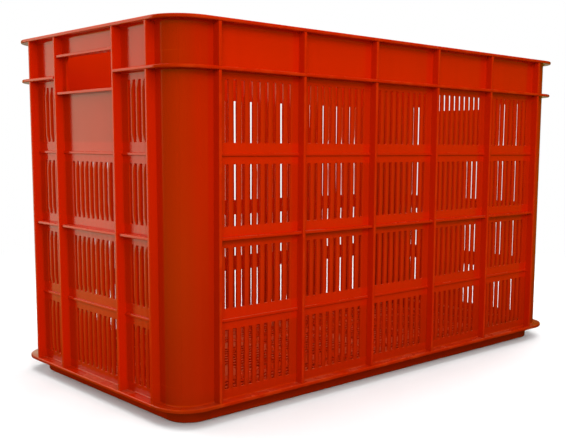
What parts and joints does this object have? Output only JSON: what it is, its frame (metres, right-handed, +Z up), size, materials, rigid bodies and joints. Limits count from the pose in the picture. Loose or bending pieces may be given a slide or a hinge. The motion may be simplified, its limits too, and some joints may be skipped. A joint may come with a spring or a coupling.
{
  "type": "harvest crate",
  "caption": "Open-topped stacking harvest crate with slotted, ribbed walls, rounded corners, flanges, hand holes in the ends and a set-back base that nests in a rim below.",
  "frame": {"origin": "on the ground, at the middle of the crate's footprint", "axes": "+X along the long side, +Y across the crate from the front long side to the back one, +Z up"},
  "size_m": [0.6, 0.315, 0.361],
  "materials": {
    "crate_plastic": "semi-gloss moulded red-orange polyethylene, self-coloured"
  },
  "bodies": {
    "root": {"back_base_flange": "crate_plastic", "back_deep_rails": "crate_plastic", "back_left_base_flange_corner": "crate_plastic", "back_left_corner_column": "crate_plastic", "back_left_rim_corner": "crate_plastic", "back_left_skirt_corner": "crate_plastic", "back_left_stacking_flange_corner": "crate_plastic", "back_ribs": "crate_plastic", "back_right_base_flange_corner": "crate_plastic", "back_right_corner_column": "crate_plastic", "back_right_rim_corner": "crate_plastic", "back_right_skirt_corner": "crate_plastic", "back_right_stacking_flange_corner": "crate_plastic", "back_rim": "crate_plastic", "back_skirt": "crate_plastic", "back_slim_rails": "crate_plastic", "back_stacking_flange": "crate_plastic", "back_wall": "crate_plastic", "floor_cross_ribs": "crate_plastic", "floor_long_ribs": "crate_plastic", "floor_panel": "crate_plastic", "front_base_flange": "crate_plastic", "front_deep_rails": "crate_plastic", "front_left_base_flange_corner": "crate_plastic", "front_left_corner_column": "crate_plastic", "front_left_rim_corner": "crate_plastic", "front_left_skirt_corner": "crate_plastic", "front_left_stacking_flange_corner": "crate_plastic", "front_ribs": "crate_plastic", "front_right_base_flange_corner": "crate_plastic", "front_right_corner_column": "crate_plastic", "front_right_rim_corner": "crate_plastic", "front_right_skirt_corner": "crate_plastic", "front_right_stacking_flange_corner": "crate_plastic", "front_rim": "crate_plastic", "front_skirt": "crate_plastic", "front_slim_rails": "crate_plastic", "front_stacking_flange": "crate_plastic", "front_wall": "crate_plastic", "left_base_flange": "crate_plastic", "left_deep_rails": "crate_plastic", "left_end_wall": "crate_plastic", "left_hand_hole_ribs": "crate_plastic", "left_ribs": "crate_plastic", "left_rim": "crate_plastic", "left_skirt": "crate_plastic", "left_slim_rails": "crate_plastic", "left_stacking_flange": "crate_plastic", "right_base_flange": "crate_plastic", "right_deep_rails": "crate_plastic", "right_end_wall": "crate_plastic", "right_hand_hole_ribs": "crate_plastic", "right_ribs": "crate_plastic", "right_rim": "crate_plastic", "right_skirt": "crate_plastic", "right_slim_rails": "crate_plastic", "right_stacking_flange": "crate_plastic"}
  },
  "joints": []
}
